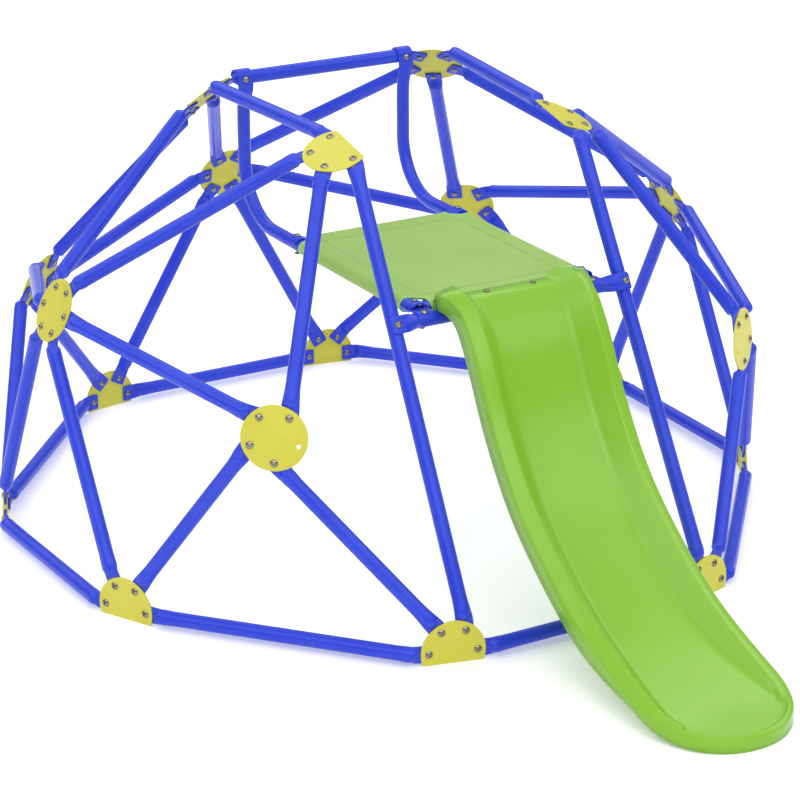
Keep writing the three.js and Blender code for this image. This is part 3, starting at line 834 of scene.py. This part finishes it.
def build_hanger(x, side):
    """J-shaped tube: hooked over the beam, down, round its bend and forward onto the cross bar."""
    tube_y = DOME_Y + HANGER_Y
    hook_y = BEAM[1] - OVER_TUBE
    line = wrapped(vec(x, BEAM[1], BEAM[2]), Y_AXIS, Z_AXIS, OVER_TUBE, HOOK_ANGLES)
    line += [
        (vec(x, hook_y - 1, BEAM[2] - 20), 0.1),
        (vec(x, mix(hook_y, tube_y, 0.4), BEAM[2] - 40), 0.55),
        (vec(x, tube_y, BEAM[2] - 70), 1.0),
        (vec(x, tube_y, SIDE_TUBE_Z + HANGER_BEND + 20), 1.0),
    ]
    for i in range(BEND_STEPS + 1):
        a = math.pi / 2 * i / BEND_STEPS
        y = tube_y - HANGER_BEND * (1 - math.cos(a))
        line.append((vec(x, y, SIDE_TUBE_Z + HANGER_BEND * (1 - math.sin(a))), 1.0))
    line.append((vec(x, tube_y - HANGER_BEND - 20, SIDE_TUBE_Z), 1.0))
    line += [(vec(x, BAR_Y + behind, CROSS_BAR_Z + above), w) for behind, above, w in FOOT_RUNS]
    line += wrapped(vec(x, BAR_Y, CROSS_BAR_Z), Y_AXIS, Z_AXIS, OVER_TUBE, FOOT_ANGLES)
    return build_bar("platform_hanger_" + side, line, HANGER_RADIUS, X_AXIS, "hanger_" + side)


def build_cross_bar():
    """Bar strapped round the front of the long legs. Returns a leg's axis there and the strap's offset."""
    top, foot = (end[3] for end in strut_ends(HUBS["top_front_right"], HUBS["base_front_right"]))
    centre = mix(top, foot, (top[2] - CROSS_BAR_Z) / (top[2] - foot[2]))
    leg = unit(foot - top)
    width_axis = unit(vec(0, leg[1], leg[2]))
    outward = vec(0, width_axis[2], -width_axis[1])
    if outward[1] > 0:
        outward = -outward
    offset = outward * (OVER_TUBE + LEG_GAP)
    half = wrapped(centre, outward, X_AXIS, OVER_TUBE + LEG_GAP, LEG_ANGLES)
    for inside in LEG_RUNS:
        settled = float(ease((inside - SETTLE_START) / SETTLE_RUN))
        spot = mix(centre + offset, vec(0, BAR_Y, CROSS_BAR_Z), settled)
        half.append((vec(centre[0] - inside, spot[1], spot[2]), settled**0.8))
    build_bar("platform_cross_bar", mirrored(half), TUBE_RADIUS, width_axis, "cross_bar")
    return centre, offset


def build_cloth_bar(name, y, node=None):
    """Bar across the side tubes; each pressed end wraps over the top of a side tube."""
    half = wrapped(vec(HANGER_X, y, SIDE_TUBE_Z), X_AXIS, Z_AXIS, OVER_SIDE, SIDE_ANGLES)
    half += [(vec(HANGER_X - inside, y, SIDE_TUBE_Z + above), w) for inside, above, w in SIDE_RUNS]
    return build_bar(name, mirrored(half), CLOTH_BAR_RADIUS, Y_AXIS, node)


HANGERS = [build_hanger(-HANGER_X, "left"), build_hanger(HANGER_X, "right")]
LEG_CENTRE, LEG_STRAP = build_cross_bar()
REAR_BAR = build_cloth_bar("platform_rear_bar", DOME_Y + REAR_BAR_Y, "rear_cloth_bar")
FRONT_BAR = build_cloth_bar("platform_front_bar", DOME_Y + FRONT_BAR_Y)
FOOT_BOLT_AXIS = unit(vec(0, -0.28, 0.96))

# heads sit on the straps; those at the hook and at the foot are sunk a little into the strap's curve
frame_bolts = Solid()
for sign in (-1, 1):
    flip = vec(sign, 1, 1)
    strap = FLAT_HALF_THICKNESS
    hook = vec(HANGER_X, BEAM[1] - OVER_TUBE - strap, BEAM[2])
    bolt(frame_bolts, hook * flip, -Y_AXIS, 2 * (OVER_TUBE + strap) - 3, FRAME_HEAD_RADIUS)
    foot = vec(HANGER_X, BAR_Y - 6, CROSS_BAR_Z + OVER_TUBE + strap - 1.2)
    bolt(frame_bolts, foot * flip, FOOT_BOLT_AXIS, 2 * OVER_TUBE, FRAME_HEAD_RADIUS)
    front = unit(LEG_STRAP)
    leg = LEG_CENTRE + LEG_STRAP + front * strap
    bolt(frame_bolts, leg * flip, front, 2 * np.linalg.norm(LEG_STRAP), FRAME_HEAD_RADIUS)
    for y in (REAR_BAR_Y, FRONT_BAR_Y):
        top = vec(HANGER_X, DOME_Y + y, SIDE_TUBE_Z + HANGER_RADIUS + CONTACT_GAP + 2 * strap)
        bolt(frame_bolts, top * flip, Z_AXIS, 2 * (HANGER_RADIUS + 2 * strap), CLOTH_BAR_HEAD_RADIUS)
frame_bolts.make("platform_frame_bolts", STEEL, "bolt_steel", BOLT_SMOOTH_ANGLE)


# ---------------------------------------------------------------- platform cloth
PANEL_HALF = 192.0              # where the sheet leaves the flat and starts over a side tube
PANEL_INSET = 26.0              # the same, from the axis of a bar
SAG = 7.0
CLOTH_THICKNESS = 1.2
WRAP_GAP = 0.9
PANEL_DROP = 1.2                # the flat part's edge below the top of a sleeve
SEAM_INSET = 6.0                # a sleeve's seam is inside the panel's edge
SEAM_RISE = 4.5                 # and below the sleeve's top
HEM = 10.0
CELL = 5.0
SLEEVE_STEPS = 16
RETURN_STEPS = 4
PANEL_FRONT = DOME_Y + FRONT_BAR_Y + PANEL_INSET
PANEL_REAR = DOME_Y + REAR_BAR_Y - PANEL_INSET

# how far a sleeve's ends are cut back, and how steeply
SIDE_NOTCH = (10.0, 0.8)
END_NOTCH = (15.0, 1.2)


def wrap_path(radius, lead):
    """Cross-section of a sleeve from the panel's edge: over, round and back under to its seam.

    Returns distances along the cloth and (outward, height) from the panel's edge and the tube's middle.
    """
    drop = radius - PANEL_DROP
    line = [(0.0, drop), (lead * 0.5, mix(drop, radius, 0.75)), (lead, radius)]
    seam = (-SEAM_INSET, radius - SEAM_RISE)
    reach = math.hypot(seam[0] - lead, seam[1])
    last = math.atan2(seam[1], seam[0] - lead) + math.acos(min(1.0, radius / reach)) - math.tau
    for i in range(1, SLEEVE_STEPS + 1):
        a = mix(math.pi / 2, last, i / SLEEVE_STEPS)
        line.append((lead + radius * math.cos(a), radius * math.sin(a)))
    leaving = line[-1]
    for i in range(1, RETURN_STEPS + 1):
        line.append(tuple(mix(a, b, i / RETURN_STEPS) for a, b in zip(leaving, seam)))
    line.append((seam[0] - HEM, seam[1] + 0.3))
    return lengths_along(np.array(line)), line


def panel_height(x, y):
    """Top of the flat part: hung between the tubes, lowest in the middle."""
    u = np.clip(abs(x) / PANEL_HALF, 0, 1)
    v = np.clip((y - PANEL_FRONT) / (PANEL_REAR - PANEL_FRONT), 0, 1)
    edge = SIDE_TUBE_Z + mix(HANGER_RADIUS, CLOTH_BAR_RADIUS, ease((abs(v - 0.5) - 0.35) / 0.15)) + WRAP_GAP
    dip = SAG * (1 - u**2) * (1 - (2 * v - 1) ** 2) ** 0.7
    return edge - PANEL_DROP - dip


def build_cloth():
    """The sheet as one surface, with its flat pattern kept as UVs; sleeves follow the panel's four edges."""
    columns = int(round(2 * PANEL_HALF / CELL))
    rows = int(round((PANEL_REAR - PANEL_FRONT) / CELL))
    xs = np.linspace(-PANEL_HALF, PANEL_HALF, columns + 1)
    ys = np.linspace(PANEL_FRONT, PANEL_REAR, rows + 1)
    points, flat, faces = [], [], []

    def add(point, pattern):
        points.append(point)
        flat.append(pattern)
        return len(points) - 1

    def join(row_a, row_b, flip):
        for k in range(len(row_a) - 1):
            face = (row_a[k], row_a[k + 1], row_b[k + 1], row_b[k])
            faces.append(face[::-1] if flip else face)

    def add_sleeve(previous, outward_axis, sign, tube_radius, lead, notch):
        """Carries an edge of the panel round its tube. Returns its two open ends and its flat area."""
        radius = tube_radius + WRAP_GAP
        distance, line = wrap_path(radius, lead)
        edge = points[previous[0]][outward_axis]
        along = [points[i][1 - outward_axis] for i in previous]
        heights = [points[i][2] for i in previous]
        low, high = along[0], along[-1]
        ends = [[], []]
        widths = [(0.0, high - low)]
        for s, (out, height) in list(zip(distance, line))[1:]:
            cut = min(notch[0], s * notch[1])
            row = []
            for spot, panel_z in zip(along, heights):
                kept = mix(low + cut, high - cut, (spot - low) / (high - low))
                z = SIDE_TUBE_Z + height
                if out < lead and s < lead * 1.2:
                    z = mix(panel_z, SIDE_TUBE_Z + radius, ease(out / lead))
                place = (edge + sign * out, kept)
                pattern = (edge + sign * s, kept)
                turn = -1 if outward_axis else 1
                row.append(add(vec(*place[::turn], z), pattern[::turn]))
            join(previous, row, (sign > 0) != bool(outward_axis))
            widths.append((s, high - low - 2 * cut))
            previous = row
            ends[0].append(row[0])
            ends[1].append(row[-1])
        return ends, sum((b[0] - a[0]) * (a[1] + b[1]) / 2 for a, b in zip(widths, widths[1:]))

    panel = [[add(vec(x, y, panel_height(x, y)), (x, y)) for y in ys] for x in xs]
    for a, b in zip(panel, panel[1:]):
        join(a, b, True)
    edges = {}
    area = 2 * PANEL_HALF * (PANEL_REAR - PANEL_FRONT)
    for sign, index in ((-1, 0), (1, -1)):
        ends, extra = add_sleeve(panel[index], 0, sign, HANGER_RADIUS, HANGER_X - PANEL_HALF, SIDE_NOTCH)
        edges[("side", sign)] = ends
        area += extra
    for sign, index in ((-1, 0), (1, -1)):
        edge = [column[index] for column in panel]
        ends, extra = add_sleeve(edge, 1, sign, CLOTH_BAR_RADIUS, PANEL_INSET, END_NOTCH)
        edges[("end", sign)] = ends
        area += extra

    mesh = bpy.data.meshes.new("platform_sheet")
    mesh.from_pydata([tuple(p * MM) for p in points], [], faces)
    layer = mesh.uv_layers.new(name="flat_pattern")
    for loop in mesh.loops:
        u, v = flat[loop.vertex_index]
        layer.data[loop.index].uv = (u * MM, v * MM)
    obj = put("platform_sheet", mesh)
    mesh.materials.append(CLOTH)
    mesh.shade_smooth()
    thick = obj.modifiers.new("thickness", "SOLIDIFY")
    thick.thickness = CLOTH_THICKNESS * MM
    thick.offset = 0.0
    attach(obj, "root")
    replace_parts(obj, "platform_cloth")
    pattern = np.array(flat)
    size = (pattern.max(0) - pattern.min(0)) * MM
    return obj, points, panel, edges, size, area * MM * MM


CLOTH_SHEET, CLOTH_POINTS, CLOTH_PANEL, CLOTH_EDGES, CLOTH_SIZE, CLOTH_AREA = build_cloth()
STITCH_PITCH = 5.0
STITCH_LENGTH = 3.6
STITCH_RADIUS = 0.25
STITCH_SIDES = 6
STITCH_RINGS = ((0, 0.35), (0.2, 1.0), (0.8, 1.0), (1, 0.35))   # share of the length, and of the radius
SEAMS = (14.0, 18.0)            # rows of stitches, inside the panel's edge
BINDING_HALF_WIDTH = 3.4
BINDING_HALF_THICKNESS = 1.5
BINDING_SIDES = 12
BINDING_SPACING = 2.5
BINDING_ROWS = 20               # rows of a sleeve whose cut ends it covers


def build_stitching():
    """Rows of short stitches parallel to the four edges, standing on the cloth."""
    solid = Solid()

    def stitch(a, b):
        side = unit(np.cross(unit(b - a), Z_AXIS))
        rings = []
        for t, share in STITCH_RINGS:
            centre = mix(a, b, t) + Z_AXIS * STITCH_RADIUS * math.sin(math.pi * t)
            offsets = circle(side, Z_AXIS, STITCH_SIDES)
            rings.append([centre + offset * STITCH_RADIUS * share for offset in offsets])
        solid.skin(rings)

    def row(start, end):
        total = np.linalg.norm(end - start)
        for i in range(int(total / STITCH_PITCH)):
            ends = []
            for offset in (0, STITCH_LENGTH):
                p = mix(start, end, (i * STITCH_PITCH + offset) / total)
                ends.append(vec(p[0], p[1], panel_height(p[0], p[1]) + CLOTH_THICKNESS / 2 + 0.05))
            stitch(*ends)

    for inset in SEAMS:
        x = PANEL_HALF - inset
        low, high = PANEL_FRONT + inset, PANEL_REAR - inset
        for sign in (-1, 1):
            row(vec(sign * x, low, 0), vec(sign * x, high, 0))
            y = high if sign > 0 else low
            row(vec(-x, y, 0), vec(x, y, 0))
    return solid.make("platform_stitching", STITCH, "platform_cloth", 60)


def build_binding():
    """Bias tape folded over the edges of the four corner notches."""
    solid = Solid()
    for sx in (-1, 1):
        for sy in (-1, 1):
            side_end = CLOTH_EDGES[("side", sx)][0 if sy < 0 else 1]
            end_end = CLOTH_EDGES[("end", sy)][0 if sx < 0 else 1]
            corner = CLOTH_PANEL[0 if sx < 0 else -1][0 if sy < 0 else -1]
            chain = side_end[:BINDING_ROWS][::-1] + [corner] + end_end[:BINDING_ROWS]
            line = [CLOTH_POINTS[i] for i in chain]
            path = [p for p, _ in smooth_path(line, [0] * len(line), BINDING_SPACING)]
            bar_y = DOME_Y + (FRONT_BAR_Y if sy < 0 else REAR_BAR_Y)
            rings = []
            for i, p in enumerate(path):
                tangent = unit(path[min(i + 1, len(path) - 1)] - path[max(i - 1, 0)])
                if i < len(path) / 2:
                    out = p - vec(sx * HANGER_X, p[1], SIDE_TUBE_Z)
                else:
                    out = p - vec(p[0], bar_y, SIDE_TUBE_Z)
                out = unit(out - tangent * (out @ tangent))
                across = np.cross(tangent, out)
                width, height = across * BINDING_HALF_WIDTH, out * BINDING_HALF_THICKNESS
                rings.append([p + offset for offset in circle(width, height, BINDING_SIDES)])
            solid.skin(rings)
    return solid.make("platform_binding", BINDING, "platform_cloth", 60)


stitching = build_stitching()
binding = build_binding()


# ---------------------------------------------------------------- slide
SLIDE_LINE = [
    (-522, 692), (-575, 697), (-625, 672), (-670, 615), (-757, 455), (-846, 331),
    (-945, 240), (-1090, 141), (-1234, 80), (-1360, 43), (-1480, 32),
]
SLIDE_HALF = 170.0
SLIDE_FLARE = 18.0
RAIL_WIDTH = 33.0
RAIL_CREST = 8.0                # inner edge of a rail above its outer edge
SLIDE_DEPTH = 33.0
SLIDE_TOP_DEPTH = 12.0
SLIDE_TOP_RUN = 110.0           # length over which the top opens into the chute
TOP_RAIL_WIDTH = 46.0
TOP_RAIL_CREST = 8.0
TOP_CORNER = 16.0               # how much the two top corners are rounded in
TOP_CORNER_RUN = 34.0
TOP_SKIRT = 34.0
SKIRT_BELOW_FLOOR = 11.0
EXIT_SKIRT = 33.0
EXIT_SHARE = 0.075              # share of the depth left at the exit
SLIDE_WALL = 4.0
SLIDE_NOSE = 190.0
SLIDE_CLOSING = 420.0
RAIL_END = 78.0                 # where the rails drop to the front lip, before the exit
RAIL_SINK = ((0.4, 100.0), (0.6, 10.0))     # share of that drop, and the length it takes
NOSE_POWER = 2.05               # squareness of the exit's outline
NOSE_INSET = 84.0               # front lip to the last point of the middle line
NOSE_STEPS = 44
NOSE_LAG = 1.6                  # how late the middle line follows the outline round the exit
FRONT_LIP = 12.0
FRONT_CREST = 2.2
ROW_SPACING = 12.0
TURN_SPAN = 14.0                # distance either way over which the slide's direction is read
TOP_ROLL = ((5.0, 13.0), (6.0, 7.0), (4.0, 2.5), (1.5, 0.6))    # top edge, rolled back and down
SEAT_SCREW_X = 59.0
SEAT_SCREW_FROM_TOP = 20.0
SEAT_SCREW_GRIP = 9.0


def rounded(points, steps=5):
    """Open polyline with each inner corner (x, y, radius) replaced by a short curve."""
    out = [np.array(points[0][:2], float)]
    for i in range(1, len(points) - 1):
        a, p, b = (np.array(points[j][:2], float) for j in (i - 1, i, i + 1))
        r = points[i][2]
        start = p + (a - p) * min(0.5, r / max(np.linalg.norm(a - p), 1e-6))
        end = p + (b - p) * min(0.5, r / max(np.linalg.norm(b - p), 1e-6))
        out.extend(bezier(start, p, end, k / steps) for k in range(steps + 1))
    out.append(np.array(points[-1][:2], float))
    return out


class SlideLine:
    """Middle of the slide seen from the side: a point and its upward normal at any distance."""

    def __init__(self):
        path = smooth_path([vec(0, DOME_Y + y, z) for y, z in SLIDE_LINE], [0] * len(SLIDE_LINE), 6.0)
        self.points = np.array([p for p, _ in path])
        self.travelled = lengths_along(self.points)
        self.length = self.travelled[-1]

    def within(self, distance):
        return min(max(distance, 0.0), self.length)

    def point(self, distance):
        inside = self.within(distance)
        return np.array([np.interp(inside, self.travelled, column) for column in self.points.T])

    def at(self, distance):
        inside = self.within(distance)
        tangent = unit(self.point(inside + TURN_SPAN) - self.point(inside - TURN_SPAN))
        up = vec(0, tangent[2], -tangent[1])
        return self.point(inside) + tangent * (distance - inside), (up if up[2] > 0 else -up)

    def place(self, x, distance, height):
        point, up = self.at(distance)
        spot = point + vec(x, 0, 0) + up * height
        spot[2] = max(spot[2], 0.0)
        return spot


def floor_depth(line, distance):
    """Floor below the rail line: shallow at the platform, deep in the middle, nearly level at the exit."""
    opening = float(ease(distance / SLIDE_TOP_RUN))
    closing = float(ease((line.length - distance) / SLIDE_CLOSING))
    return mix(SLIDE_TOP_DEPTH, SLIDE_DEPTH, opening) * mix(EXIT_SHARE, 1.0, closing)


def slide_row(line, outline, middle, front):
    """One row of the surface from the bottom of the skirt to the middle line, both in (x, distance)."""
    outline, middle = np.array(outline, float), np.array(middle, float)
    reach = np.linalg.norm(middle - outline)
    inward = (middle - outline) / reach
    opening = float(ease(outline[1] / SLIDE_TOP_RUN))
    closing = float(ease((line.length - outline[1]) / SLIDE_CLOSING))
    depth = floor_depth(line, outline[1])
    rail = mix(mix(TOP_RAIL_WIDTH, RAIL_WIDTH, opening), FRONT_LIP, front)
    crest = mix(mix(TOP_RAIL_CREST, RAIL_CREST * mix(0.35, 1.0, closing), opening), FRONT_CREST, front)
    wall_foot = min(rail + depth + crest, reach * 0.6)
    full_skirt = mix(TOP_SKIRT, SLIDE_DEPTH + SKIRT_BELOW_FLOOR, opening)
    skirt = max(full_skirt * closing, EXIT_SKIRT * (1 - closing))
    soft = mix(1.0, 0.5, front)
    corners = [
        (-1.5, -skirt, 0),
        (0, -13, 3),
        (0, -2.5, 4),
        (rail * 0.45, mix(-2.5, crest, 0.65), 7 * soft),
        (rail - 1, crest, 3),
        (wall_foot, -depth, 10 * soft),
        (min(wall_foot * 1.4, reach * 0.8), -depth, 10 * soft),
        (reach, -depth, 0),
    ]
    row = []
    for d, h in rounded(corners):
        distance = outline[1] + inward[1] * d
        on_floor = float(ease((d - rail) / max(wall_foot - rail, 1.0)))
        row.append(line.place(outline[0] + inward[0] * d, distance,
                              h + (depth - floor_depth(line, distance)) * on_floor))
    return row


def slide_half_width(distance):
    """The chute's half width: flared at the top, with its two corners rounded in."""
    flare = SLIDE_FLARE * (1 - float(ease(distance / SLIDE_TOP_RUN)))
    return SLIDE_HALF + flare - TOP_CORNER * (1 - float(ease(distance / TOP_CORNER_RUN)) ** 0.6)


def build_slide():
    """The slide as one thin shell. Returns its middle line."""
    line = SlideLine()
    nose_start = line.length - SLIDE_NOSE
    rows = []
    for back, drop in TOP_ROLL:
        row = slide_row(line, (slide_half_width(0), 0), (0, 0), 0.0)
        rows.append([p + vec(0, back, -drop) for p in row])
    for distance in np.arange(0, nose_start, ROW_SPACING):
        rows.append(slide_row(line, (slide_half_width(distance), distance), (0, distance), 0.0))
    for i in range(NOSE_STEPS + 1):
        a = math.pi / 2 * i / NOSE_STEPS
        x = SLIDE_HALF * math.cos(a) ** (2 / NOSE_POWER) if i < NOSE_STEPS else 0.0
        distance = nose_start + SLIDE_NOSE * math.sin(a) ** (2 / NOSE_POWER)
        inner = mix(nose_start, line.length - NOSE_INSET, math.sin(a) ** NOSE_LAG)
        before_end = line.length - distance - RAIL_END
        front = sum(share * float(ease(1 - before_end / length)) for share, length in RAIL_SINK)
        rows.append(slide_row(line, (x, distance), (0, inner), front))
    flipped = [[p * MIRROR for p in row] for row in rows]
    solid = Solid()
    solid.skin(flipped + rows[-2::-1], closed_ring=False, caps=False)
    obj = solid.make("slide_body", SLIDE_PLASTIC, "slide_plastic", 60, recalculate=False)
    work = bmesh.new()
    work.from_mesh(obj.data)
    bmesh.ops.remove_doubles(work, verts=work.verts, dist=WELD)
    bmesh.ops.recalc_face_normals(work, faces=work.faces)
    floor_faces = [f for f in work.faces if abs(f.calc_center_median().x) < 0.02]
    if sum(f.normal.z for f in floor_faces) < 0:
        bmesh.ops.reverse_faces(work, faces=work.faces)
    work.to_mesh(obj.data)
    work.free()
    thick = obj.modifiers.new("wall", "SOLIDIFY")
    thick.thickness = SLIDE_WALL * MM
    thick.offset = -1.0
    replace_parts(obj, "slide")
    return line


seat, up = build_slide().at(SEAT_SCREW_FROM_TOP)
screws = Solid()
for x in (-SEAT_SCREW_X, SEAT_SCREW_X):
    bolt(screws, seat + X_AXIS * x - up * (SLIDE_TOP_DEPTH + 1.4), up, SEAT_SCREW_GRIP, SCREW_HEAD_RADIUS)
screws.make("slide_screws", STEEL, "bolt_steel", BOLT_SMOOTH_ANGLE)


# ---------------------------------------------------------------- floor, light and camera
FLOOR_HALF = 60.0               # metres, like the rest of this section
FLOOR_LEVEL = -0.0005
SKY_LEVELS = [(0.0, 0.10), (0.46, 0.42), (0.56, 2.1), (0.72, 2.1), (0.84, 0.85)]   # position, brightness
SKY_STRENGTH = 0.92
SUN_ENERGY = 0.65
SUN_ANGLE = 60.0
SUN_DIRECTION = Vector((0.5, 0.9, -1.5))


def build_floor():
    mesh = bpy.data.meshes.new("floor")
    corners = [(-1, -1), (1, -1), (1, 1), (-1, 1)]
    mesh.from_pydata([(x * FLOOR_HALF, y * FLOOR_HALF, FLOOR_LEVEL) for x, y in corners], [], [(0, 1, 2, 3)])
    floor = put("studio_floor", mesh)
    m = Nodes("pale_floor")
    m.set(Base_Color=m.ramp(m.noise(1.5, 2.0), [(0.3, (0.93, 0.93, 0.935)), (0.7, (0.96, 0.96, 0.96))]))
    m.set(Roughness=0.9, Specular_IOR_Level=0.1, Emission_Color=(1.0, 1.0, 1.0, 1.0), Emission_Strength=0.22)
    mesh.materials.append(m.material)


build_floor()
world = bpy.data.worlds.new("studio")
bpy.context.scene.world = world
world.use_nodes = True
sky = world.node_tree
height = sky.nodes.new("ShaderNodeSeparateXYZ")
shade = sky.nodes.new("ShaderNodeValToRGB")
while len(shade.color_ramp.elements) < len(SKY_LEVELS):
    shade.color_ramp.elements.new(0.5)
for element, (position, level) in zip(shade.color_ramp.elements, SKY_LEVELS):
    element.position = position
    element.color = (level, level, level, 1.0)
sky.links.new(sky.nodes.new("ShaderNodeTexCoord").outputs["Generated"], height.inputs[0])
sky.links.new(height.outputs["Z"], shade.inputs["Fac"])
sky.links.new(shade.outputs["Color"], sky.nodes["Background"].inputs["Color"])
sky.nodes["Background"].inputs["Strength"].default_value = SKY_STRENGTH
sun_data = bpy.data.lights.new("overhead_softbox", "SUN")
sun_data.energy = SUN_ENERGY
sun_data.angle = math.radians(SUN_ANGLE)
sun = put("overhead_softbox", sun_data)
sun.rotation_euler = SUN_DIRECTION.to_track_quat("-Z", "Y").to_euler()
bpy.context.scene.view_settings.view_transform = "Standard"

CAMERA_TARGET = Vector((0.0085, 0.2358, 0.2595))
CAMERA_BACK = Vector((-0.4732, -0.8037, 0.3608))
CAMERA_DISTANCE = 6.482
CAMERA_ROLL = 0.0027
camera_data = bpy.data.cameras.new("camera")
camera_data.lens = 124.76
camera_data.sensor_width = 36.0
camera_data.clip_end = 200.0
camera = put("camera", camera_data)
camera.location = CAMERA_TARGET + CAMERA_BACK.normalized() * CAMERA_DISTANCE
camera.rotation_mode = "QUATERNION"
camera.rotation_quaternion = (CAMERA_BACK.to_track_quat("Z", "Y").to_matrix().to_4x4()
                              @ Matrix.Rotation(CAMERA_ROLL, 4, "Z")).to_quaternion()
bpy.context.scene.camera = camera
